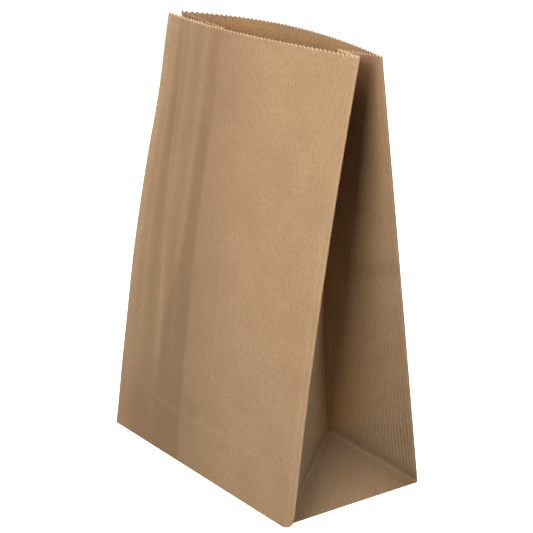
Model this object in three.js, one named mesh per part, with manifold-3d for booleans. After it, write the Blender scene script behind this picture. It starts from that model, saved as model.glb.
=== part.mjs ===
// A flat-bottomed paper lunch bag, folded and pasted from one sheet of ribbed kraft paper.
// It stands open on its base, pinched nearly shut at both ends of its mouth.
// Millimetres, +Z up, origin under the middle of the bag's box, front panel towards -Y.
// The sheet is followed by its own two measures: how far round the tube, and how high up it.
import * as THREE from "three";
import { mergeVertices } from "three/addons/utils/BufferGeometryUtils.js";
import Module from "manifold-3d";

const wasm = await Module();
wasm.setup();

// The flat sizes that the tube is folded to.
const WIDTH = 178; // front and back panels
const DEPTH = 92; // gussets, and the base's short side
const HEIGHT = 258; // from the base fold to the mouth, up the sheet
const SHEET = 0.15; // thickness of the paper
const FOLD_RADIUS = 0.5; // of the paper's middle at a crease
const CORNER_RADIUS = 2; // of the base seen from above

// The mouth's saw-cut edge.
const TOOTH_PITCH = 3.1;
const TOOTH_HEIGHT = 0.8;

// The lap seam that closes the tube, on the front panel, measured from its left crease.
const SEAM_OUTER_EDGE = 28;
const SEAM_INNER_EDGE = 50;
const SEAM_EASE = 30; // the length over which the sheet settles back to a single thickness
const SEAM_STEP = 0.1;

// The base: folded ends of the gussets inside, then the front flap, then the back flap.
const BASE_THICKNESS = 4 * SHEET;
const BASE_EDGE = 0.3; // rounding of the base's lower edge
const FLAP_OVERLAP = 9; // how far the back flap reaches past the base's middle line

// Where each long crease would meet the floor, and the corner of the mouth that it runs to.
const FOOT = {
  frontLeft: new THREE.Vector3(-89, -46, BASE_THICKNESS),
  frontRight: new THREE.Vector3(89, -46, BASE_THICKNESS),
  backLeft: new THREE.Vector3(-89, 46, BASE_THICKNESS),
  backRight: new THREE.Vector3(89.5, 46, BASE_THICKNESS),
};
const MOUTH = {
  frontLeft: new THREE.Vector3(-87.4, -0.8, 254.2),
  frontRight: new THREE.Vector3(89.9, -6.8, 255.3),
  backLeft: new THREE.Vector3(-80.6, 3.2, 255.6),
  backRight: new THREE.Vector3(93.4, 4.6, 255),
};
const LEFT_FOLD_AT_MOUTH = new THREE.Vector3(-41.5, 5.5, 250.6);
const RIGHT_FOLD_AT_MOUTH = new THREE.Vector3(48.9, 14.4, 250.6);
const APEX_INSET = 26; // where the two slanted creases of a gusset meet, in from the base's edge
const APEX_HEIGHT = 38.1;

// The right-hand creases draw in as they come down to the base.
const FRONT_ROUND = 9; // radius of the front panel's lower right corner
const BACK_DRAW_IN = new THREE.Vector3(-3, 2.4, 0);
const BACK_DRAW_IN_HEIGHT = 14;

// How far the panels and the creases bow outwards.
const FRONT_BOW = 7.7;
const FRONT_BOW_LEAN = -0.315; // negative leans the bow's crown towards the left
const BACK_BOW = 19.5;
const BACK_BOW_LEAN = -0.29;
const CREASE_BOW = { frontLeft: 2.3, frontRight: 3.2, backLeft: 0.2, backRight: 0.2 };

const FOLD_STEPS = 4;
const HALF_GUSSET_STEPS = 4;
const BACK_STEPS = 10;
const LEVELS = [1, 3, 6, 9, 15, 30, 46, 70, 100, 130, 160, 190, 220, 240, HEIGHT - 3];
const CREASE_LOOK = 0.05; // how far along a panel its direction at a crease is taken, as a share of it

const smoothCrown = (t, lean) => 4 * t * (1 - t) * (1 + lean * (2 * t - 1));
const mix = (a, b, t) => a.clone().lerp(b, t);

// How far a long crease has left its own line, close to the base.
function drawIn(name, height) {
  const shift = new THREE.Vector3();
  if (name === "frontRight") {
    const below = Math.max(0, 1 - height / FRONT_ROUND);
    shift.x = -FRONT_ROUND * (1 - Math.sqrt(1 - below * below));
  }
  if (name === "backRight") {
    const below = Math.max(0, 1 - height / BACK_DRAW_IN_HEIGHT);
    shift.copy(BACK_DRAW_IN).multiplyScalar(below * below);
  }
  return shift;
}

// One long crease: a bowed line from its foot to a corner of the mouth.
function longCrease(name) {
  return (height) => {
    const t = height / HEIGHT;
    const place = mix(FOOT[name], MOUTH[name], t);
    place.y += Math.sign(FOOT[name].y) * CREASE_BOW[name] * smoothCrown(t, 0);
    return place.add(drawIn(name, height));
  };
}

const creases = {
  frontLeft: longCrease("frontLeft"),
  frontRight: longCrease("frontRight"),
  backLeft: longCrease("backLeft"),
  backRight: longCrease("backRight"),
};

// A gusset's inward fold. Below the apex it is two slanted creases, from the apex to the base's corners.
function innerFold(side, mouthEnd) {
  const apex = new THREE.Vector3(side * (WIDTH / 2 - APEX_INSET), 0, APEX_HEIGHT);
  const pull = new THREE.Vector3(mouthEnd.x, apex.y, (apex.z + mouthEnd.z) / 2);
  const curve = new THREE.QuadraticBezierCurve3(apex, pull, mouthEnd);
  return (height, corner) => {
    if (height < DEPTH / 2) return mix(corner(0), apex, height / (DEPTH / 2));
    return curve.getPoint((height - DEPTH / 2) / (HEIGHT - DEPTH / 2));
  };
}

const innerFolds = {
  right: innerFold(1, RIGHT_FOLD_AT_MOUTH),
  left: innerFold(-1, LEFT_FOLD_AT_MOUTH),
};

// Points round a crease whose two sheets leave it towards `before` and `after`.
function foldPoint(crease, before, after, t) {
  const a = before.clone().sub(crease).normalize();
  const b = after.clone().sub(crease).normalize();
  const inward = a.clone().add(b).normalize();
  const across = a.clone().sub(b).normalize();
  const reach = Math.PI / 2 - a.angleTo(b) / 2;
  const angle = reach * (1 - 2 * t);
  return crease
    .clone()
    .addScaledVector(inward, FOLD_RADIUS * (1 - Math.cos(angle)))
    .addScaledVector(across, FOLD_RADIUS * Math.sin(angle));
}

// How far a panel's bow carries it out, at a share t of its width.
function panelBow(t, height, amount, lean) {
  return amount * smoothCrown(t, lean) * (height / HEIGHT);
}

// A long crease's rounding. Going round the tube, the sheet reaches it from the panel or from the gusset.
function cornerFold(name, panelFirst) {
  const isRight = name.endsWith("Right");
  const isFront = name.startsWith("front");
  const crease = creases[name];
  const twin = creases[isRight ? name.replace("Right", "Left") : name.replace("Left", "Right")];
  const inner = isRight ? innerFolds.right : innerFolds.left;
  const bow = isFront ? -FRONT_BOW : BACK_BOW;
  const lean = isFront ? FRONT_BOW_LEAN : BACK_BOW_LEAN;
  const near = isRight ? 1 - CREASE_LOOK : CREASE_LOOK;
  return (t, height) => {
    const edge = crease(height);
    const panel = mix(edge, twin(height), CREASE_LOOK);
    panel.y += panelBow(near, height, bow, lean);
    const gusset = inner(height, crease);
    return panelFirst ? foldPoint(edge, panel, gusset, t) : foldPoint(edge, gusset, panel, t);
  };
}

const folds = {
  frontRight: cornerFold("frontRight", true),
  backRight: cornerFold("backRight", false),
  backLeft: cornerFold("backLeft", true),
  frontLeft: cornerFold("frontLeft", false),
};

// The rounding of a gusset's inward fold, or the triangle between its slanted creases below the apex.
function centreStretch(inner, from, to) {
  return (t, height) => {
    const start = inner(height, from);
    if (height < DEPTH / 2) return mix(start, inner(height, to), t);
    return foldPoint(start, from(height), to(height), t);
  };
}

const centres = {
  right: centreStretch(innerFolds.right, creases.frontRight, creases.backRight),
  left: centreStretch(innerFolds.left, creases.backLeft, creases.frontLeft),
};

// A panel between two folds, bowed outwards more and more towards the mouth.
function panel(startFold, endFold, bow, lean) {
  return (t, height) => {
    const place = mix(startFold(1, height), endFold(0, height), t);
    place.y += panelBow(t, height, bow, lean);
    return place;
  };
}

// A gusset's flat half, between the end of one fold and the start of the next.
function halfGusset(startFold, endFold) {
  return (t, height) => mix(startFold(1, height), endFold(0, height), t);
}

// The base's outline: four corners, each a small curve shared by a fold and its half gusset.
const cornerShare = FOLD_STEPS / (FOLD_STEPS + HALF_GUSSET_STEPS);

const baseCorners = {
  frontLeft: creases.frontLeft(0),
  frontRight: creases.frontRight(0),
  backRight: creases.backRight(0),
  backLeft: creases.backLeft(0),
};

function towards(from, to) {
  return from.clone().add(to.clone().sub(from).setLength(CORNER_RADIUS));
}

function baseSide(fromName, toName) {
  const start = towards(baseCorners[fromName], baseCorners[toName]);
  const end = towards(baseCorners[toName], baseCorners[fromName]);
  return (t) => mix(start, end, t);
}

function baseCorner(name, beforeName, afterName, from, to) {
  const corner = baseCorners[name];
  const start = towards(corner, baseCorners[beforeName]);
  const end = towards(corner, baseCorners[afterName]);
  const curve = new THREE.QuadraticBezierCurve3(start, corner, end);
  return (t) => curve.getPoint(from + (to - from) * t);
}

const even = (count) => Array.from({ length: count }, (_, i) => i / count);
const seamStops = [
  SEAM_OUTER_EDGE,
  SEAM_OUTER_EDGE + SEAM_STEP,
  SEAM_INNER_EDGE,
  SEAM_INNER_EDGE + SEAM_STEP,
  SEAM_INNER_EDGE + SEAM_EASE,
].map((distance) => distance / WIDTH);
const teethAcross = (length) => even(2 * Math.round(length / TOOTH_PITCH));

// The tube's stretches in order, anticlockwise seen from above, from the front panel's left crease.
function panelStretch(startName, endName, bow, lean, stops) {
  return {
    up: panel(folds[startName], folds[endName], bow, lean),
    base: baseSide(startName, endName),
    stops,
    rimStops: teethAcross(WIDTH),
  };
}

function foldStretch(name, beforeName, afterName, from) {
  const stops = even(FOLD_STEPS);
  const base = baseCorner(name, beforeName, afterName, from, from + cornerShare);
  return { up: folds[name], base, stops, rimStops: stops, plain: true };
}

function halfStretch(startFold, endFold, name, beforeName, afterName, from) {
  return {
    up: halfGusset(startFold, endFold),
    base: baseCorner(name, beforeName, afterName, from, from + 1 - cornerShare),
    stops: even(HALF_GUSSET_STEPS),
    rimStops: teethAcross(DEPTH / 2),
  };
}

function centreFoldStretch(up, startName, endName) {
  const stops = even(FOLD_STEPS);
  return { up, base: baseSide(startName, endName), stops, rimStops: stops, plain: true };
}

const frontStretch = panelStretch(
  "frontLeft",
  "frontRight",
  -FRONT_BOW,
  FRONT_BOW_LEAN,
  [0, 0.08, ...seamStops, 0.6, 0.75, 0.9],
);

const stretches = [
  frontStretch,
  foldStretch("frontRight", "frontLeft", "backRight", 0),
  halfStretch(folds.frontRight, centres.right, "frontRight", "frontLeft", "backRight", cornerShare),
  centreFoldStretch(centres.right, "frontRight", "backRight"),
  halfStretch(centres.right, folds.backRight, "backRight", "frontRight", "backLeft", 0),
  foldStretch("backRight", "frontRight", "backLeft", 1 - cornerShare),
  panelStretch("backRight", "backLeft", BACK_BOW, -BACK_BOW_LEAN, even(BACK_STEPS)),
  foldStretch("backLeft", "backRight", "frontLeft", 0),
  halfStretch(folds.backLeft, centres.left, "backLeft", "backRight", "frontLeft", cornerShare),
  centreFoldStretch(centres.left, "backLeft", "frontLeft"),
  halfStretch(centres.left, folds.frontLeft, "frontLeft", "backLeft", "frontRight", 0),
  foldStretch("frontLeft", "backLeft", "frontRight", 1 - cornerShare),
];

// How much further out the sheet's two faces lie where the seam doubles it.
function seamLift(stretch, t) {
  if (stretch !== frontStretch) return { outer: 0, inner: 0 };
  const distance = t * WIDTH;
  const eased = (distance - SEAM_INNER_EDGE - SEAM_STEP) / SEAM_EASE;
  const settled = THREE.MathUtils.clamp(eased, 0, 1);
  const outerStep = THREE.MathUtils.clamp((distance - SEAM_OUTER_EDGE) / SEAM_STEP, 0, 1);
  const innerStep = THREE.MathUtils.clamp((distance - SEAM_INNER_EDGE) / SEAM_STEP, 0, 1);
  return {
    outer: SHEET * outerStep * (1 - settled),
    inner: SHEET * innerStep * (1 - settled),
  };
}

function columnsOf(kind) {
  return stretches.flatMap((stretch) => stretch[kind].map((t) => ({ stretch, t })));
}

function sheetPoint({ stretch, t }, height) {
  return height === 0 ? stretch.base(t) : stretch.up(t, height);
}

// One closed ring of the sheet, as its outer and its inner face, at one height or with the saw teeth.
function ring(columns, height, toothed) {
  const middle = columns.map((column) => sheetPoint(column, height));
  const above = columns.map((column) => sheetPoint(column, Math.min(height + 1, HEIGHT)));
  const below = columns.map((column) => sheetPoint(column, height > 1 ? height - 1 : height));
  const count = columns.length;
  const outer = [];
  const inner = [];
  columns.forEach((column, i) => {
    const round = middle[(i + 1) % count].clone().sub(middle[(i + count - 1) % count]);
    const upward = above[i].clone().sub(below[i]);
    const outward = round.cross(upward).normalize();
    const toothIndex = column.stretch.rimStops.indexOf(column.t);
    const isValley = toothed && (column.stretch.plain || toothIndex % 2 === 0);
    const place = isValley ? sheetPoint(column, height - TOOTH_HEIGHT) : middle[i];
    const lift = seamLift(column.stretch, column.t);
    outer.push(place.clone().addScaledVector(outward, SHEET / 2 + lift.outer));
    inner.push(place.clone().addScaledVector(outward, lift.inner - SHEET / 2));
  });
  return { outer, inner };
}

// The closed surface, collected as triangles of points.
const triangles = [];
const addTriangle = (a, b, c) => triangles.push(a, b, c);

// A band between two rings. Its diagonals stay the same when it is flipped, so that the sheet's two faces keep
// their distance where it twists.
function addBand(lower, upper, flipped = false) {
  const add = flipped ? (a, b, c) => addTriangle(a, c, b) : addTriangle;
  lower.forEach((point, i) => {
    const next = (i + 1) % lower.length;
    add(point, lower[next], upper[next]);
    add(point, upper[next], upper[i]);
  });
}

// A band between two rings with different stops, stretch by stretch.
function addZippedBand(lower, upper, flipped) {
  const add = flipped ? (a, b, c) => addTriangle(a, c, b) : addTriangle;
  let lowStart = 0;
  let highStart = 0;
  for (const stretch of stretches) {
    const lowStops = [...stretch.stops, 1];
    const highStops = [...stretch.rimStops, 1];
    const low = (i) => lower[(lowStart + i) % lower.length];
    const high = (i) => upper[(highStart + i) % upper.length];
    let i = 0;
    let j = 0;
    while (i < stretch.stops.length || j < stretch.rimStops.length) {
      const highDone = j === stretch.rimStops.length;
      const lowLeft = i < stretch.stops.length;
      if (highDone || (lowLeft && lowStops[i + 1] <= highStops[j + 1])) {
        add(low(i), low(i + 1), high(j));
        i += 1;
      } else {
        add(low(i), high(j + 1), high(j));
        j += 1;
      }
    }
    lowStart += stretch.stops.length;
    highStart += stretch.rimStops.length;
  }
}

function addCap(points, facingDown) {
  const outline = points.map((point) => new THREE.Vector2(point.x, point.y));
  for (const [a, b, c] of THREE.ShapeUtils.triangulateShape(outline, [])) {
    if (facingDown) addTriangle(points[a], points[c], points[b]);
    else addTriangle(points[a], points[b], points[c]);
  }
}

const columns = columnsOf("stops");
const rimColumns = columnsOf("rimStops");
const rings = [0, ...LEVELS].map((height) => ring(columns, height, false));
const rim = ring(rimColumns, HEIGHT, true);

for (let i = 1; i < rings.length; i += 1) {
  addBand(rings[i - 1].outer, rings[i].outer);
  addBand(rings[i - 1].inner, rings[i].inner, true);
}
addZippedBand(rings.at(-1).outer, rim.outer, false);
addZippedBand(rings.at(-1).inner, rim.inner, true);
addBand(rim.outer, rim.inner);

// The base's rounded lower edge, its underside and its inside.
const shoulder = rings[0].outer.map(({ x, y }) => new THREE.Vector3(x, y, BASE_EDGE));
const underside = shoulder.map(({ x, y }) => {
  return new THREE.Vector3(x - Math.sign(x) * BASE_EDGE, y - Math.sign(y) * BASE_EDGE, 0);
});
addBand(shoulder, rings[0].outer);
addBand(underside, shoulder);
addCap(underside, true);
addCap(rings[0].inner, false);

function toSolid(geometry) {
  const bare = geometry.clone();
  bare.deleteAttribute("normal");
  bare.deleteAttribute("uv");
  const merged = mergeVertices(bare, 1e-4);
  return new wasm.Manifold(
    new wasm.Mesh({
      numProp: 3,
      vertProperties: new Float32Array(merged.attributes.position.array),
      triVerts: new Uint32Array(merged.index.array),
    }),
  );
}

function toGeometry(solid) {
  const mesh = solid.getMesh();
  const geometry = new THREE.BufferGeometry();
  geometry.setAttribute("position", new THREE.BufferAttribute(mesh.vertProperties, 3));
  geometry.setIndex(new THREE.BufferAttribute(mesh.triVerts, 1));
  geometry.computeVertexNormals();
  return geometry;
}

// What the folded layers leave hollow on the underside, so that the back flap is the face it stands on.
const BEYOND = 5;
const foldTip = WIDTH / 2 - DEPTH / 2;

function underCut(points, height) {
  const shape = new THREE.Shape(points.map(([x, y]) => new THREE.Vector2(x, y)));
  const geometry = new THREE.ExtrudeGeometry(shape, { depth: height + 1, bevelEnabled: false });
  geometry.translate(0, 0, -1);
  return toSolid(geometry);
}

function sideUnderCut(side) {
  const x = side * (WIDTH / 2 + BEYOND);
  const y = DEPTH / 2 + BEYOND;
  const tip = side * (foldTip - FOLD_RADIUS);
  return underCut([[x, -y], [x, y], [tip, 0]], 2 * SHEET);
}

// The back flap's saw-cut edge, from right to left.
function flapEdge() {
  const halfLength = foldTip - FLAP_OVERLAP;
  const count = 2 * Math.round((2 * halfLength) / TOOTH_PITCH);
  return Array.from({ length: count + 1 }, (_, i) => [
    halfLength - (2 * halfLength * i) / count,
    -FLAP_OVERLAP + (i % 2 === 0 ? TOOTH_HEIGHT : 0),
  ]);
}

function frontUnderCut() {
  const x = WIDTH / 2 + BEYOND;
  const y = -DEPTH / 2 - BEYOND;
  return underCut([[-x, y], [x, y], [foldTip, 0], ...flapEdge(), [-foldTip, 0]], SHEET);
}

const shell = new THREE.BufferGeometry().setFromPoints(triangles);
const bagSolid = toSolid(shell)
  .subtract(sideUnderCut(1))
  .subtract(sideUnderCut(-1))
  .subtract(frontUnderCut());

// The bag leans a little off its base, and its frame stands at the middle of its whole box.
const bagGeometry = toGeometry(bagSolid);
bagGeometry.computeBoundingBox();
const middle = bagGeometry.boundingBox.getCenter(new THREE.Vector3());
bagGeometry.translate(-middle.x, -middle.y, 0);

const kraftPaper = new THREE.MeshStandardMaterial({ color: 0xb08d66, roughness: 0.9, metalness: 0 });
const paperBag = new THREE.Mesh(bagGeometry, kraftPaper);
paperBag.name = "paper_bag";

const bag = new THREE.Group();
bag.add(paperBag);

export default bag;
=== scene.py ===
import math

import bpy
import numpy as np
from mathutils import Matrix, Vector


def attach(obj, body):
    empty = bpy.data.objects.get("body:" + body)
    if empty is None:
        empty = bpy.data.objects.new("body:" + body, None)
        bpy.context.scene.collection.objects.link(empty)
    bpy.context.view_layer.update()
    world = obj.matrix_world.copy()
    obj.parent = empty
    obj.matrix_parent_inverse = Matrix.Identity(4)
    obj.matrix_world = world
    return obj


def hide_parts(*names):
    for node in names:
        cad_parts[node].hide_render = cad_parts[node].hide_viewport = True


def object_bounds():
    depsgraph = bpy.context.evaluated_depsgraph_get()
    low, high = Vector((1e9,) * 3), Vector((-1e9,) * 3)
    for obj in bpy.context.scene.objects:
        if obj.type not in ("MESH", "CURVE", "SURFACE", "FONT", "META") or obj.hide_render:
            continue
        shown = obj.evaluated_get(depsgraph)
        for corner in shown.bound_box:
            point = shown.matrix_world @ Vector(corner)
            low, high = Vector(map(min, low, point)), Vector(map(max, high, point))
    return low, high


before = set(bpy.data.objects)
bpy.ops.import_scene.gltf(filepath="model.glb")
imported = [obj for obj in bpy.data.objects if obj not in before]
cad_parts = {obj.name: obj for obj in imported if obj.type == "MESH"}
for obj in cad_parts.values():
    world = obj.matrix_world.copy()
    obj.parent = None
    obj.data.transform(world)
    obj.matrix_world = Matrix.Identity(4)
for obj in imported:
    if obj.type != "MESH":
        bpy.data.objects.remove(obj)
cad_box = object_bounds()

# ---------------------------------------------------------------------------
# The camera stands a little above the mouth, off the front panel's right-hand corner.
# ---------------------------------------------------------------------------
AIM = Vector((0.0030, -0.0012, 0.1172))
AZIMUTH = math.radians(52.17)
ELEVATION = math.radians(19.12)
DISTANCE = 0.8356
ROLL = math.radians(0.206)

back = Vector(
    (
        math.sin(AZIMUTH) * math.cos(ELEVATION),
        -math.cos(AZIMUTH) * math.cos(ELEVATION),
        math.sin(ELEVATION),
    )
)
camera_data = bpy.data.cameras.new("camera")
camera_data.sensor_width = 36.0
camera_data.lens = 98.2
camera_data.shift_x = 0.0021
camera_data.shift_y = 0.0087
camera_data.clip_start = 0.05
camera_data.clip_end = 20.0
camera = bpy.data.objects.new("camera", camera_data)
camera.location = AIM + back * DISTANCE
camera.rotation_euler = back.to_track_quat("Z", "Y").to_euler()
camera.rotation_euler.rotate_axis("Z", ROLL)
bpy.context.scene.collection.objects.link(camera)
bpy.context.scene.camera = camera

# ---------------------------------------------------------------------------
# The bag: one sheet of 80 g ribbed kraft, wrapped to a tube, lapped and pasted on the front
# panel, tucked in at the sides and folded flat at the foot. Its mouth is saw cut.
# ---------------------------------------------------------------------------
MM = 0.001
WIDTH = 178.0  # front and back panels
DEPTH = 92.0  # gussets
HEIGHT = 258.0  # base fold to mouth, up the sheet
PAPER = 0.15
FOLD_RADIUS = 0.5
TOOTH_PITCH = 3.1
TOOTH_DEPTH = 1.0
RIB_PITCH = 1.68
BASE_LAYERS = 4 * PAPER
FOOT_ROUND = 9.0  # the front panel's rounded lower corner
FOOT_ROUND_REACH = 22.0  # how far into the panel that round draws the sheet
BACK_FOOT_RISE = 14.0  # the height below which the back right crease draws in to its corner

# Places on the sheet, measured in millimetres round the tube from the front panel's left crease.
RIGHT_CREASE = WIDTH
RIGHT_TUCK = WIDTH + DEPTH / 2
BACK_RIGHT_CREASE = WIDTH + DEPTH
BACK_LEFT_CREASE = 2 * WIDTH + DEPTH
LEFT_TUCK = 2 * WIDTH + 1.5 * DEPTH
ROUND = 2 * (WIDTH + DEPTH)


def point(x, y, z):
    return np.array([x, y, z], float)


def between(a, b, share):
    share = np.asarray(share, float)[..., None]
    return a * (1 - share) + b * share


def crown(share, lean=0.0):
    """A bow that is 1 in the middle and 0 at both ends, with its top moved to one side by lean."""
    return 4 * share * (1 - share) * (1 + lean * (2 * share - 1))


def swell(value, centre, width):
    """A soft bump of height 1."""
    return np.exp(-(((value - centre) / width) ** 2))


def ramp(value, start, end):
    """0 before start, 1 after end, and smooth between them."""
    share = np.clip((value - start) / (end - start), 0, 1)
    return share * share * (3 - 2 * share)


# Each long crease: its foot, its end at the mouth, and how far it bows between them along Y.
CREASES = {
    "front_left": (point(-89, -46, 0.6), point(-87.4, -0.8, 254.2), -2.3),
    "front_right": (point(89, -46, 0.6), point(89.9, -6.8, 255.3), -3.2),
    "back_right": (point(89.5, 46, 0.6), point(93.4, 4.6, 255.0), 0.2),
    "back_left": (point(-89, 46, 0.6), point(-80.6, 3.2, 255.6), 0.2),
}
FRONT_BOW, FRONT_LEAN = -7.7, -0.315
BACK_BOW, BACK_LEAN = 19.5, -0.29
RIGHT_APEX = point(63, 0, 38.1)
LEFT_APEX = point(-63, 0, 38.1)
RIGHT_TUCK_END = point(48.9, 14.4, 250.6)
LEFT_TUCK_END = point(-41.5, 5.5, 250.6)


def foot_inset(height):
    """How far the front panel's right crease turns in as it comes down to the base."""
    below = np.clip(1 - height / FOOT_ROUND, 0, 1)
    return FOOT_ROUND * (1 - np.sqrt(1 - below**2))


def long_crease(name, height):
    foot, end, bow = CREASES[name]
    share = height / HEIGHT
    place = between(foot, end, share)
    place[..., 1] += bow * crown(share)
    if name == "front_left":
        # It stands out a little at half height and draws in under the mouth.
        place[..., 1] -= 1.0 * swell(share, 0.46, 0.16) - 1.5 * swell(share, 0.82, 0.11)
        place[..., 1] += 0.6 * swell(share, 0.04, 0.08)
    if name == "back_right":
        low = np.clip(1 - height / BACK_FOOT_RISE, 0, 1) ** 2
        place[..., 0] -= 3.0 * low
        place[..., 1] += 2.4 * low
    return place


def corner_of(name, height):
    """A long crease as the sheet really runs, with the front right foot rounded."""
    place = long_crease(name, height)
    if name == "front_right":
        place[..., 0] -= foot_inset(height)
    return place


def tuck(side, height):
    """The inward crease of a gusset, from the tip of its foot triangle to the mouth."""
    apex, end = (RIGHT_APEX, RIGHT_TUCK_END) if side == "right" else (LEFT_APEX, LEFT_TUCK_END)
    pull = point(end[0], 0, (apex[2] + end[2]) / 2)
    share = np.clip((height - DEPTH / 2) / (HEIGHT - DEPTH / 2), 0, 1)
    return between(between(apex, pull, share), between(pull, end, share), share)


def front_panel(distance, height):
    share = distance / WIDTH
    place = between(long_crease("front_left", height), long_crease("front_right", height), share)
    place[..., 1] += FRONT_BOW * crown(share, FRONT_LEAN) * height / HEIGHT
    near_corner = np.clip(1 - (WIDTH - distance) / FOOT_ROUND_REACH, 0, 1) ** 2
    place[..., 0] -= foot_inset(height) * near_corner
    return place


def back_panel(distance, height):
    share = (distance - BACK_RIGHT_CREASE) / WIDTH
    place = between(long_crease("back_right", height), long_crease("back_left", height), share)
    place[..., 1] += BACK_BOW * crown(share, -BACK_LEAN) * height / HEIGHT
    return place


def gusset(side, into, height):
    """A gusset, from one long crease (into = 0) to the other (into = DEPTH), with its foot triangle."""
    first, last = ("front_right", "back_right") if side == "right" else ("back_left", "front_left")
    start, end = corner_of(first, height), corner_of(last, height)
    half = DEPTH / 2
    slant = np.minimum(height, half)
    apex = RIGHT_APEX if side == "right" else LEFT_APEX
    low = slant / half
    start_slant = between(corner_of(first, np.zeros_like(height)), apex, low)
    end_slant = between(corner_of(last, np.zeros_like(height)), apex, low)
    above = (height > half)[..., None]
    inner = tuck(side, height)
    start_inner = np.where(above, inner, start_slant)
    end_inner = np.where(above, inner, end_slant)
    reach = np.maximum(slant, 1e-6)
    on_first = between(start, start_inner, np.clip(into / reach, 0, 1))
    on_last = between(end, end_inner, np.clip((DEPTH - into) / reach, 0, 1))
    gap = np.maximum(DEPTH - 2 * slant, 1e-6)
    on_triangle = between(start_slant, end_slant, np.clip((into - slant) / gap, 0, 1))
    place = np.where((into <= slant)[..., None], on_first, on_triangle)
    return np.where((DEPTH - into <= slant)[..., None], on_last, place)


def sheet(distance, height):
    """Where a point of the flat sheet lies once it is folded. distance runs round the tube."""
    distance = np.mod(np.asarray(distance, float), ROUND)
    height = np.asarray(height, float) + np.zeros_like(distance)
    place = front_panel(distance, height)
    for start, found in (
        (RIGHT_CREASE, lambda d, h: gusset("right", d - RIGHT_CREASE, h)),
        (BACK_RIGHT_CREASE, back_panel),
        (BACK_LEFT_CREASE, lambda d, h: gusset("left", d - BACK_LEFT_CREASE, h)),
    ):
        place = np.where((distance >= start)[..., None], found(distance, height), place)
    return place


def turn(crease, before, after, share):
    """A crease's small round: from the sheet towards before, to the sheet towards after."""

    def unit(v):
        return v / np.maximum(np.linalg.norm(v, axis=-1, keepdims=True), 1e-9)

    a, b = unit(before - crease), unit(after - crease)
    inward, across = unit(a + b), unit(a - b)
    opening = np.arccos(np.clip((a * b).sum(-1), -1, 1))
    angle = ((math.pi - opening) / 2)[..., None] * (1 - 2 * share)
    return (
        crease
        + inward * FOLD_RADIUS * (1 - np.cos(angle))
        + across * FOLD_RADIUS * np.sin(angle)
    )


# The columns run up the sheet, one at each tooth's tip and root and several round each crease;
# the rows keep the same spacing up to the tips of the foot triangles, so that their slanted
# creases run through the corners of the mesh.
HALF_GUSSET_COLUMNS = 30
STEP = DEPTH / 2 / HALF_GUSSET_COLUMNS
ROW_STEP = 3.3  # above the foot triangles
CREASE_COLUMNS = 6
CREASE_HALF_WIDTH = FOLD_RADIUS * 1.2
CREASE_REACH = 3.0  # how far from a crease the sheet's own direction is taken
PANEL_COLUMNS = 2 * round(WIDTH / TOOTH_PITCH)
columns = []  # (distance round the tube, distance of the crease it belongs to, share of its round)
tooth_steps = []  # how many half teeth the saw has cut by each column


def add_crease(at):
    step = tooth_steps[-1] + 1 if tooth_steps else 0
    for i in range(CREASE_COLUMNS + 1):
        share = i / CREASE_COLUMNS
        columns.append((at + CREASE_HALF_WIDTH * (2 * share - 1), at, share))
        tooth_steps.append(step)


def add_run(start, length, count):
    for i in range(1, count):
        columns.append((start + length * i / count, None, 0.0))
        tooth_steps.append(tooth_steps[-1] + 1)


for crease_at, run_length, run_columns in (
    (0.0, WIDTH, PANEL_COLUMNS),
    (RIGHT_CREASE, DEPTH / 2, HALF_GUSSET_COLUMNS),
    (RIGHT_TUCK, DEPTH / 2, HALF_GUSSET_COLUMNS),
    (BACK_RIGHT_CREASE, WIDTH, PANEL_COLUMNS),
    (BACK_LEFT_CREASE, DEPTH / 2, HALF_GUSSET_COLUMNS),
    (LEFT_TUCK, DEPTH / 2, HALF_GUSSET_COLUMNS),
):
    add_crease(crease_at)
    add_run(crease_at, run_length, run_columns)

distances = np.array([c[0] for c in columns])
low_rows = [0.0, 0.4] + [STEP * i for i in range(1, HALF_GUSSET_COLUMNS + 1)]
high_rows = list(np.arange(DEPTH / 2 + 2.5, HEIGHT - 3.5, ROW_STEP))
rows = np.array(low_rows + high_rows + [HEIGHT - 2.2, HEIGHT - 1.4, HEIGHT])

grid_height, grid_distance = np.meshgrid(rows, distances, indexing="ij")
middle = sheet(grid_distance, grid_height)
for index, (_, at, share) in enumerate(columns):
    if at is None:
        continue
    crease = sheet(np.full(len(rows), at), rows)
    before = sheet(np.full(len(rows), at - CREASE_REACH), rows)
    after = sheet(np.full(len(rows), at + CREASE_REACH), rows)
    rounded = turn(crease, before, after, share)
    is_tuck = at in (RIGHT_TUCK, LEFT_TUCK)
    keep = rows <= DEPTH / 2 if is_tuck else rows < 0.3
    middle[:, index] = np.where(keep[:, None], middle[:, index], rounded)


def facing(places):
    """The sheet's outward direction at each point of the grid."""
    round_way = np.roll(places, -1, axis=1) - np.roll(places, 1, axis=1)
    up_way = np.gradient(places, axis=0)
    outward = np.cross(round_way, up_way)
    return outward / np.linalg.norm(outward, axis=-1, keepdims=True)


TRIANGLE_SAG = 1.6


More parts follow.
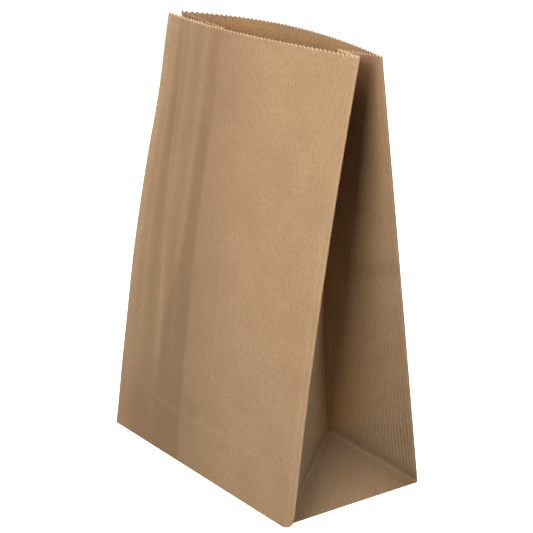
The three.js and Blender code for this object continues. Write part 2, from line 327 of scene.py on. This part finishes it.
def relief(distance, height):
    """How far handling and paste have lifted the sheet: cockles by the lap, a buckle in the gusset."""
    up = height / HEIGHT
    rise = np.zeros_like(distance)
    near_lap = ramp(distance, 2, 8) * (1 - ramp(distance, 64, 74))
    # Each cockle: its place at half height, its drift over the height, its half width and its lift.
    for at, drift, width, lift in (
        (14.0, 6.0, 5.0, -0.34),
        (31.0, 8.0, 3.0, 0.26),
        (43.0, 5.0, 4.5, -0.22),
        (54.0, 2.0, 4.0, 0.16),
        (64.0, 1.0, 3.6, -0.3),
    ):
        rise += lift * swell(distance, at + drift * (0.5 - up), width) * near_lap * ramp(height, 25, 70)
    on_back_half = ramp(distance, RIGHT_TUCK + 4, RIGHT_TUCK + 16) * (distance < BACK_RIGHT_CREASE)
    rise -= 1.0 * swell(height, 133, 7.0) * on_back_half
    rise += 0.5 * swell(height, 146, 9.0) * on_back_half
    rise -= 0.8 * swell(height, 84, 10.0) * swell(distance, BACK_RIGHT_CREASE - 10, 14) * on_back_half
    on_triangle = (distance > RIGHT_CREASE) & (distance < BACK_RIGHT_CREASE) & (height < DEPTH / 2)
    into = distance - RIGHT_CREASE
    tall = np.minimum(into, DEPTH - into)
    inside = np.clip(1 - height / np.maximum(tall, 1e-6), 0, 1)
    sag = TRIANGLE_SAG * np.sqrt(inside * height / (DEPTH / 2)) * tall / (DEPTH / 2)
    return rise - np.where(on_triangle, sag, 0)


outward = facing(middle)
middle = middle + outward * relief(grid_distance, grid_height)[..., None]
outward = facing(middle)

# The lap: the front panel's outer layer ends at LAP_EDGE, and the layer under it at LAP_UNDER.
LAP_EDGE = 31.0
LAP_UNDER = 52.0
LAP_EASE = 30.0
settled = np.clip((grid_distance - LAP_UNDER) / LAP_EASE, 0, 1)
on_front = (grid_distance < WIDTH) & (grid_distance > 0)
outer_lift = np.where(on_front & (grid_distance > LAP_EDGE), PAPER * (1 - settled), 0)
inner_lift = np.where(on_front & (grid_distance > LAP_UNDER), PAPER * (1 - settled), 0)
outer = middle + outward * (PAPER / 2 + outer_lift)[..., None]
inner = middle + outward * (inner_lift - PAPER / 2)[..., None]
outer[0, :, 2] = BASE_LAYERS
inner[0, :, 2] = BASE_LAYERS

row_count, column_count = grid_distance.shape
ring = row_count * column_count
shoulder = outer[0].copy()
shoulder[:, 2] = 2 * PAPER
vertices = np.concatenate(
    [
        outer.reshape(-1, 3),
        inner.reshape(-1, 3),
        shoulder,
        [[0, 0, 2 * PAPER], [0, 0, BASE_LAYERS]],
    ]
)
SHOULDER = 2 * ring
UNDER_CENTRE = SHOULDER + column_count
INSIDE_CENTRE = UNDER_CENTRE + 1


def slants(row, column):
    """Which way the gusset's slanted crease crosses this cell: 1 up to the right, -1 up to the left."""
    next_column = (column + 1) % column_count
    for start in (RIGHT_CREASE, BACK_LEFT_CREASE):
        a, b = distances[column] - start, distances[next_column] - start
        if not 0 < (a + b) / 2 < DEPTH or rows[row + 1] > DEPTH / 2 + 1e-6:
            continue
        middle_height = (rows[row] + rows[row + 1]) / 2
        if abs((a + b) / 2 - middle_height) < STEP / 2:
            return 1
        if abs(DEPTH - (a + b) / 2 - middle_height) < STEP / 2:
            return -1
    return 0


faces = []
for row in range(row_count - 1):
    for column in range(column_count):
        after = (column + 1) % column_count
        a, b = row * column_count + column, row * column_count + after
        c, d = b + column_count, a + column_count
        way = slants(row, column)
        if way == 1:
            cell = [(a, b, c), (a, c, d)]
        elif way == -1:
            cell = [(a, b, d), (b, c, d)]
        else:
            cell = [(a, b, c, d)]
        for corners in cell:
            faces.append(corners)
            faces.append(tuple(ring + i for i in reversed(corners)))
for column in range(column_count):
    after = (column + 1) % column_count
    top = (row_count - 1) * column_count
    faces.append((top + column, top + after, ring + top + after, ring + top + column))
    faces.append((SHOULDER + column, SHOULDER + after, after, column))
    faces.append((SHOULDER + after, SHOULDER + column, UNDER_CENTRE))
    faces.append((ring + column, ring + after, INSIDE_CENTRE))

# The base's pasted flaps, seen from beneath: the front flap first, and the back flap over it.
FLAP_TIP = WIDTH / 2 - DEPTH / 2
FLAP_OVERLAP = 9.0


def flap_saw_edge():
    half = FLAP_TIP - FLAP_OVERLAP
    count = 2 * round(2 * half / TOOTH_PITCH)
    return [
        (half - 2 * half * i / count, -FLAP_OVERLAP + (TOOTH_DEPTH if i % 2 == 0 else 0.0))
        for i in range(count + 1)
    ]


FLAP_FRONT, FLAP_BACK, FLAP_LEFT = -45.9, 46.0, -88.6
FRONT_FLAP_RIGHT = 80.0  # short of the rounded corner
BACK_FLAP_RIGHT = 85.6
FRONT_FLAP_END = 30.0  # half the length of the front flap's hidden edge
front_flap = [
    (FLAP_LEFT, FLAP_FRONT),
    (FRONT_FLAP_RIGHT, FLAP_FRONT),
    (FLAP_TIP, 0),
    (FRONT_FLAP_END, FLAP_OVERLAP),
    (-FRONT_FLAP_END, FLAP_OVERLAP),
    (-FLAP_TIP, 0),
]
back_flap = [
    (BACK_FLAP_RIGHT, FLAP_BACK),
    (FLAP_LEFT, FLAP_BACK - 0.1),
    (-FLAP_TIP, 0),
    *flap_saw_edge()[::-1],
    (FLAP_TIP, 0),
]
extra_vertices, extra_faces = [], []
for outline, low, high in ((front_flap, PAPER, 2 * PAPER), (back_flap, 0.0, PAPER)):
    start = len(vertices) + len(extra_vertices)
    area = sum(x0 * y1 - x1 * y0 for (x0, y0), (x1, y1) in zip(outline, outline[1:] + outline[:1]))
    if area < 0:
        outline = outline[::-1]
    count = len(outline)
    extra_vertices += [(x, y, low) for x, y in outline] + [(x, y, high) for x, y in outline]
    extra_faces.append(tuple(start + i for i in reversed(range(count))))
    extra_faces.append(tuple(start + count + i for i in range(count)))
    for i in range(count):
        j = (i + 1) % count
        extra_faces.append((start + i, start + j, start + count + j, start + count + i))
vertices = np.concatenate([vertices, np.array(extra_vertices)])
faces += extra_faces

# The frame's origin is under the middle of the whole bag, so the sheet is moved to that box.
box_middle = (Vector(cad_box[0]) + Vector(cad_box[1])) / 2
lowest, highest = vertices.min(axis=0), vertices.max(axis=0)
vertices[:, 0] += box_middle.x / MM - (lowest[0] + highest[0]) / 2
vertices[:, 1] += box_middle.y / MM - (lowest[1] + highest[1]) / 2

blank = bpy.data.meshes.new("folded_sheet")
blank.from_pydata((vertices * MM).tolist(), [], faces)
blank.update()

# The sheet's own measures ride on its points, so that ribs, teeth and fibres follow the folds.
flat_distance = np.zeros(len(vertices))
along_saw = np.zeros(len(vertices))
flat_height = np.zeros(len(vertices))
cut = np.zeros(len(vertices))
for start in (0, ring):
    flat_distance[start : start + ring] = grid_distance.reshape(-1)
    flat_height[start : start + ring] = grid_height.reshape(-1)
    cut[start + ring - column_count : start + ring] = 1
    along_saw[start : start + ring] = np.tile(np.array(tooth_steps) * TOOTH_PITCH / 2, row_count)
flat_distance[SHOULDER:UNDER_CENTRE] = distances
flat_distance[UNDER_CENTRE:] = vertices[UNDER_CENTRE:, 0] + WIDTH / 2
flat_height[UNDER_CENTRE:] = vertices[UNDER_CENTRE:, 1]


def paste_stain(distance, height):
    """Where paste under the lap has darkened the front panel, in long uneven bands up the sheet; the
    panel is also darker over its left part and at its foot, paler along the lap's edge and by its left
    crease, with streaks partly of paste and partly painted shade of the cockles; on the gussets, painted
    shade in a soft band above their slanted creases.
    """
    low = 1 - ramp(height, 60, 150)
    top = ramp(height, 185, 235)
    band = ramp(distance, 54 - 17 * low, 60 - 14 * low) * (1 - ramp(distance, 65.5, 69.5))
    wide = ramp(distance, 4, 22) * (1 - ramp(distance, 60, 125))
    patch = swell(distance, 24, 9) * swell(height, 196, 32)
    smudge = swell(distance, 79, 6) * swell(height, 33, 8)
    smudge = smudge + 0.6 * swell(distance, 139, 14) * swell(height, 182, 9)
    seam = swell(distance, 26 + 13 * ramp(height, 250, 60), 1.7) * ramp(height, 45, 62)
    foot = (1 - ramp(distance, 30, 64)) * (1 - ramp(height, 18, 60))
    near_crease = (1 - ramp(distance, 2, 16)) * ramp(height, 60, 150)
    # Alternating dark and pale streaks along the lap's cockles: partly paste damp, partly painted shade
    # of the cockles.
    streaks = np.zeros_like(distance)
    # Each streak: its place at half height, its drift over the height, its half width and strength.
    for at, drift, width, strength in (
        (10.0, 3.0, 2.6, 0.3),
        (17.0, 5.0, 2.6, -0.3),
        (27.0, 6.0, 4.0, 0.22),
        (37.0, 4.0, 2.6, -0.24),
        (46.0, 3.0, 4.0, 0.2),
        (53.0, 1.0, 2.4, -0.2),
    ):
        streaks += strength * swell(distance, at + drift * (0.5 - height / HEIGHT), width)
    stain = 0.55 * wide + 0.46 * band * (1 - 0.5 * top) + 0.3 * patch + 0.3 * smudge
    stain = stain + 0.8 * streaks * ramp(height, 20, 90)
    stain = stain + 0.3 * foot - 0.3 * seam - 0.3 * near_crease
    # On the gussets, painted shade in a soft band just above their slanted creases.
    into = np.mod(distance - RIGHT_CREASE, WIDTH + DEPTH)
    above = height - np.minimum(into, DEPTH - into)
    below_tips = 1 - ramp(height, DEPTH / 2, DEPTH / 2 + 8)
    painted_shade_band = 0.6 * swell(above, 4.5, 3.5) * (into < DEPTH) * below_tips
    return np.where(distance < WIDTH, stain, painted_shade_band)


def rubbed_and_highlit(distance, height):
    """Where the sheet is paler: rubbed along its long creases, a painted highlight along the gussets'
    slanted creases, and a few faint pale lines on the front.
    """
    pale = np.zeros_like(distance)
    for crease in (RIGHT_CREASE, BACK_RIGHT_CREASE, BACK_LEFT_CREASE, 0.0, ROUND):
        pale += swell(distance, crease, 1.2)
    # A painted highlight along the gussets' slanted creases.
    for start in (RIGHT_CREASE, BACK_LEFT_CREASE):
        into = distance - start
        nearest = np.minimum(into, DEPTH - into)
        slanted = swell(nearest, height, 1.3) * (height > 1) * (height < DEPTH / 2)
        pale += 1.6 * slanted * (into > 0) * (into < DEPTH)
    on_front = (distance > 42) & (distance < 140)
    pale += 0.3 * swell(height, 31, 1.6) * on_front
    pale += 0.45 * swell(distance, 173, 1.2) * (1 - ramp(height, 170, 190))
    pale += 0.25 * swell(distance, 96, 1.4) * ramp(height, 45, 60) * (1 - ramp(height, 115, 130))
    return np.clip(pale, 0, 2)


def painted_fold_bounce(distance, height):
    """The inward folds, tinted a darker, warmer brown: painted shade and bounce light between their
    walls.
    """
    depth = swell(distance, RIGHT_TUCK, 21) + swell(distance, LEFT_TUCK, 21)
    return depth * ramp(height, 30, 60)


def ribbing(distance):
    """How plainly the ribs show, in their bump and in their painted highlight and shade: less on the
    front panel.
    """
    return np.where(distance < WIDTH, 0.55, 1.0)


inside = np.zeros(len(vertices))
inside[ring : 2 * ring] = 1
for name, values in (
    ("along_saw_mm", along_saw),
    ("cut_edge", cut),
    ("inside", inside),
    ("paste_stain", paste_stain(flat_distance, flat_height)),
    ("rubbed_and_highlit", rubbed_and_highlit(flat_distance, flat_height)),
    ("painted_fold_bounce", painted_fold_bounce(flat_distance, flat_height)),
    ("ribbing", ribbing(flat_distance)),
):
    layer = blank.attributes.new(name, "FLOAT", "POINT")
    layer.data.foreach_set("value", values.astype(np.float32))

uv = blank.uv_layers.new(name="sheet")
corner_vertex = np.zeros(len(blank.loops), np.int32)
blank.loops.foreach_get("vertex_index", corner_vertex)
flat = np.stack([flat_distance[corner_vertex], flat_height[corner_vertex]], 1)
# The last column joins the first, so its far side is a full turn on.
loop_start = np.zeros(len(blank.polygons), np.int32)
loop_total = np.zeros(len(blank.polygons), np.int32)
blank.polygons.foreach_get("loop_start", loop_start)
blank.polygons.foreach_get("loop_total", loop_total)
owner = np.repeat(np.arange(len(blank.polygons)), loop_total)
furthest = np.maximum.reduceat(flat[:, 0], loop_start)
wraps = (furthest[owner] - flat[:, 0]) > ROUND / 2
flat[wraps, 0] += ROUND
uv.data.foreach_set("uv", (flat * MM).astype(np.float32).ravel())


def add_node(tree, kind, settings=None, **links):
    """Adds a node, sets its properties and fills its inputs, by name, with values or other sockets."""
    node = tree.nodes.new(kind)
    for key, value in (settings or {}).items():
        setattr(node, key, value)
    for key, value in links.items():
        if key.startswith("in_"):
            socket = node.inputs[int(key[3:])]
        else:
            socket = node.inputs[key.replace("_", " ")]
        if isinstance(value, bpy.types.NodeSocket):
            tree.links.new(value, socket)
        else:
            socket.default_value = value
    return node


def linear(hex_colour):
    """An sRGB hex colour as linear RGBA."""
    channels = [int(hex_colour[i : i + 2], 16) / 255 for i in (1, 3, 5)]
    bent = [c / 12.92 if c <= 0.04045 else ((c + 0.055) / 1.055) ** 2.4 for c in channels]
    return (*bent, 1.0)


# Ribbed kraft: unbleached long-fibre pulp, pressed with fine ribs that run up the bag. It is
# matt, slightly see-through against the light, mottled by its fibres, and paler where it is cut.
# The ribs are drawn about five times as deep as the real ones' 0.03 mm, so that they show.
PULP = linear("#B8956E")
PULP_DARK = linear("#94724D")
PULP_PALE = linear("#D3B48D")
PULP_DAMP_AND_SHADE = linear("#76583D")
PULP_INSIDE = linear("#DDA96F")
PULP_FOLD_BOUNCE = linear("#B5803F")
CUT_FIBRE = linear("#E6D2B8")
RIB_DEPTH = 0.16
CLOUD_SIZE = 26.0  # the pulp's uneven spread across the wire
MOTTLE_SIZE = 1.9  # knots of fibre
FIBRE_WIDTH = 0.7
FIBRE_LENGTH = 5.0

kraft = bpy.data.materials.new("unbleached_kraft_paper_ribbed")
kraft.use_nodes = True
tree = kraft.node_tree
tree.nodes.clear()
place = add_node(tree, "ShaderNodeUVMap", {"uv_map": "sheet"}).outputs["UV"]
in_mm = add_node(tree, "ShaderNodeVectorMath", {"operation": "SCALE"}, in_0=place, in_3=1000.0).outputs[0]
across = add_node(tree, "ShaderNodeSeparateXYZ", in_0=in_mm).outputs["X"]
rib_turns = add_node(
    tree, "ShaderNodeMath", {"operation": "MULTIPLY"}, in_0=across, in_1=2 * math.pi / RIB_PITCH
).outputs[0]
rib = add_node(tree, "ShaderNodeMath", {"operation": "SINE"}, in_0=rib_turns).outputs[0]

plane = {"noise_dimensions": "2D"}
ribbed = add_node(tree, "ShaderNodeAttribute", {"attribute_name": "ribbing"}).outputs["Fac"]
rib = add_node(tree, "ShaderNodeMath", {"operation": "MULTIPLY"}, in_0=rib, in_1=ribbed).outputs[0]

cloud = add_node(
    tree, "ShaderNodeTexNoise", plane, Vector=in_mm, Scale=1 / CLOUD_SIZE, Detail=3.0, Roughness=0.55
).outputs["Fac"]
mottle = add_node(
    tree, "ShaderNodeTexNoise", plane, Vector=in_mm, Scale=1 / MOTTLE_SIZE, Detail=4.0, Roughness=0.65
).outputs["Fac"]
drawn_out = add_node(
    tree, "ShaderNodeMapping", Vector=in_mm, Scale=(1 / FIBRE_WIDTH, 1 / FIBRE_LENGTH, 1.0)
).outputs[0]
fibre = add_node(
    tree, "ShaderNodeTexNoise", plane, Vector=drawn_out, Scale=1.0, Detail=3.0, Roughness=0.6
).outputs["Fac"]

colour = PULP
stain = add_node(tree, "ShaderNodeAttribute", {"attribute_name": "paste_stain"}).outputs["Fac"]
fold_bounce = add_node(tree, "ShaderNodeAttribute", {"attribute_name": "painted_fold_bounce"}).outputs["Fac"]
rub_and_highlight = add_node(tree, "ShaderNodeAttribute", {"attribute_name": "rubbed_and_highlit"}).outputs["Fac"]
cut_edge = add_node(tree, "ShaderNodeAttribute", {"attribute_name": "cut_edge"}).outputs["Fac"]
inner_face = add_node(tree, "ShaderNodeAttribute", {"attribute_name": "inside"}).outputs["Fac"]
# Each layer of tint: what spreads it, from which value to which, how strongly, and its colour.
for spread_by, start, end, strength, tint in (
    (inner_face, 0.0, 1.0, 0.9, PULP_INSIDE),
    (mottle, 0.36, 0.7, 0.72, PULP_DARK),
    (fibre, 0.5, 0.78, 0.55, PULP_PALE),
    (cloud, 0.38, 0.66, 0.34, PULP_DARK),
    # The ribs' crests painted paler than their troughs: painted highlight and shade of the ribs, beside
    # their bump.
    (rib, -1.0, 1.0, 0.42, PULP_PALE),
    # paste damp on the front panel, with painted shade on its cockles and above the gussets' slanted
    # creases
    (stain, -1.0, 1.0, 0.76, PULP_DAMP_AND_SHADE),
    # painted shade and bounce light in the inward folds
    (fold_bounce, 0.0, 1.0, 0.75, PULP_FOLD_BOUNCE),
    # rubbed paler along the long creases, with a painted highlight along the slanted creases
    (rub_and_highlight, 0.0, 2.0, 0.5, PULP_PALE),
    (cut_edge, 0.45, 1.0, 0.65, CUT_FIBRE),
):
    share = add_node(
        tree,
        "ShaderNodeMapRange",
        Value=spread_by,
        From_Min=start,
        From_Max=end,
        To_Min=0.0,
        To_Max=strength,
    ).outputs[0]
    colour = add_node(
        tree, "ShaderNodeMix", {"data_type": "RGBA"}, in_0=share, in_6=colour, in_7=tint
    ).outputs[2]

rib_bump = add_node(
    tree, "ShaderNodeBump", Strength=1.0, Distance=RIB_DEPTH / 2 * MM, Height=rib
).outputs[0]
fibre_bump = add_node(
    tree, "ShaderNodeBump", Strength=0.8, Distance=0.12 * MM, Height=mottle, Normal=rib_bump
).outputs[0]

paper = add_node(
    tree,
    "ShaderNodeBsdfPrincipled",
    Base_Color=colour,
    Roughness=0.74,
    IOR=1.45,
    Specular_IOR_Level=0.3,
    Normal=fibre_bump,
)
see_through = add_node(tree, "ShaderNodeBsdfTranslucent", Color=colour, Normal=fibre_bump)
held = add_node(tree, "ShaderNodeMixShader", in_0=0.1, in_1=paper.outputs[0], in_2=see_through.outputs[0])
add_node(tree, "ShaderNodeOutputMaterial", Surface=held.outputs[0])

# The saw: it cuts the mouth into teeth, a little unevenly, after the sheet is folded.
saw = bpy.data.node_groups.new("saw_cut_mouth", "GeometryNodeTree")
for name, kind, default in (
    ("Geometry", "NodeSocketGeometry", None),
    ("Tooth pitch", "NodeSocketFloat", TOOTH_PITCH),
    ("Tooth depth", "NodeSocketFloat", TOOTH_DEPTH),
    ("Unevenness", "NodeSocketFloat", 0.35),
    ("Paper", "NodeSocketMaterial", None),
):
    socket = saw.interface.new_socket(name, in_out="INPUT", socket_type=kind)
    if default is not None:
        socket.default_value = default
saw.interface.new_socket("Geometry", in_out="OUTPUT", socket_type="NodeSocketGeometry")
given = add_node(saw, "NodeGroupInput")
along = add_node(saw, "GeometryNodeInputNamedAttribute", {"data_type": "FLOAT"}, Name="along_saw_mm")
at_cut = add_node(saw, "GeometryNodeInputNamedAttribute", {"data_type": "FLOAT"}, Name="cut_edge")
half_pitch = add_node(
    saw, "ShaderNodeMath", {"operation": "MULTIPLY"}, in_0=given.outputs["Tooth pitch"], in_1=0.5
)
zigzag = add_node(
    saw, "ShaderNodeMath", {"operation": "PINGPONG"}, in_0=along.outputs[0], in_1=half_pitch.outputs[0]
)
share = add_node(
    saw, "ShaderNodeMath", {"operation": "DIVIDE"}, in_0=zigzag.outputs[0], in_1=half_pitch.outputs[0]
)
multiply = {"operation": "MULTIPLY"}
bite = add_node(
    saw, "ShaderNodeMath", multiply, in_0=share.outputs[0], in_1=given.outputs["Tooth depth"]
)
wander = add_node(
    saw, "ShaderNodeTexNoise", {"noise_dimensions": "1D"}, W=along.outputs[0], Scale=0.37, Detail=1.0
)
spare = add_node(
    saw, "ShaderNodeMath", multiply, in_0=wander.outputs[0], in_1=given.outputs["Unevenness"]
)
depth = add_node(saw, "ShaderNodeMath", {"operation": "ADD"}, in_0=bite.outputs[0], in_1=spare.outputs[0])
only_cut = add_node(saw, "ShaderNodeMath", multiply, in_0=depth.outputs[0], in_1=at_cut.outputs[0])
down = add_node(saw, "ShaderNodeMath", multiply, in_0=only_cut.outputs[0], in_1=-MM)
offset = add_node(saw, "ShaderNodeCombineXYZ", Z=down.outputs[0])
moved = add_node(
    saw, "GeometryNodeSetPosition", Geometry=given.outputs["Geometry"], Offset=offset.outputs[0]
)
real = add_node(saw, "GeometryNodeRealizeInstances", Geometry=moved.outputs[0])
finished = add_node(
    saw, "GeometryNodeSetMaterial", Geometry=real.outputs[0], Material=given.outputs["Paper"]
)
add_node(saw, "NodeGroupOutput", in_0=finished.outputs[0])

folded = bpy.data.objects.new("folded_sheet", blank)
bpy.context.scene.collection.objects.link(folded)
sawn = folded.modifiers.new("saw", "NODES")
sawn.node_group = saw
for item in saw.interface.items_tree:
    if item.in_out == "INPUT" and item.name == "Paper":
        sawn[item.identifier] = kraft
bpy.context.view_layer.update()
depsgraph = bpy.context.evaluated_depsgraph_get()
bag_mesh = bpy.data.meshes.new_from_object(
    folded.evaluated_get(depsgraph), preserve_all_data_layers=True, depsgraph=depsgraph
)
bag_mesh.name = "paper_lunch_bag"
bpy.data.objects.remove(folded)
bag_mesh.shade_smooth()
bag_mesh.set_sharp_from_angle(angle=math.radians(38))
bag = bpy.data.objects.new("paper_lunch_bag", bag_mesh)
bpy.context.scene.collection.objects.link(bag)
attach(bag, "root")
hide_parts("paper_bag")

# ---------------------------------------------------------------------------
# The table is a matt white board that gives off a little light of its own, so that it stays white
# right up to the bag. The bag is lit by soft boxes on every side, in a dim room.
# ---------------------------------------------------------------------------
FLOOR_REACH = 6.0
floor_mesh = bpy.data.meshes.new("white_board")
floor_mesh.from_pydata(
    [(x * FLOOR_REACH, y * FLOOR_REACH, 0) for x, y in ((-1, -1), (1, -1), (1, 1), (-1, 1))],
    [],
    [(0, 1, 2, 3)],
)
floor = bpy.data.objects.new("white_board", floor_mesh)
bpy.context.scene.collection.objects.link(floor)
floor_paint = bpy.data.materials.new("matt_white_board")
floor_paint.use_nodes = True
floor_shader = floor_paint.node_tree.nodes["Principled BSDF"]
floor_shader.inputs["Base Color"].default_value = (0.5, 0.5, 0.5, 1)
floor_shader.inputs["Roughness"].default_value = 0.95
floor_shader.inputs["Specular IOR Level"].default_value = 0.0
floor_shader.inputs["Emission Color"].default_value = (1, 1, 1, 1)
floor_shader.inputs["Emission Strength"].default_value = 0.985
floor_mesh.materials.append(floor_paint)
floor.visible_diffuse = False

world = bpy.data.worlds.new("studio")
bpy.context.scene.world = world
world.use_nodes = True
world.node_tree.nodes["Background"].inputs["Color"].default_value = (1, 1, 1, 1)
world.node_tree.nodes["Background"].inputs["Strength"].default_value = 0.04

LIT_HEIGHT = 0.12  # the soft boxes look at the bag's middle
# Each soft box: its side, counted from the front panel, its angle above the table, how far off it
# stands and how wide it is, in metres, and its power in watts.
for name, azimuth, elevation, distance, size, watts in (
    ("key", 26, 28, 0.7, 0.3, 3.9),
    ("low_front", 8, 4, 0.8, 0.4, 2.0),
    ("top", 10, 74, 0.8, 0.4, 3.6),
    ("side", 85, 40, 0.9, 0.4, 0.8),
    ("behind", 150, 65, 1.0, 0.4, 10.0),
    ("back_fill", 195, 25, 1.2, 0.6, 9.0),
    ("left_fill", 275, 30, 1.2, 0.6, 7.0),
):
    light_data = bpy.data.lights.new(name, "AREA")
    light_data.size = size
    light_data.energy = watts
    light = bpy.data.objects.new(name, light_data)
    side, height = math.radians(azimuth), math.radians(elevation)
    level = math.cos(height)
    away = Vector((math.sin(side) * level, -math.cos(side) * level, math.sin(height)))
    light.location = Vector((0, 0, LIT_HEIGHT)) + away * distance
    light.rotation_euler = away.to_track_quat("Z", "Y").to_euler()
    bpy.context.scene.collection.objects.link(light)

bpy.context.scene.view_settings.view_transform = "Standard"
bpy.context.scene.view_settings.look = "None"

bpy.context.view_layer.update()
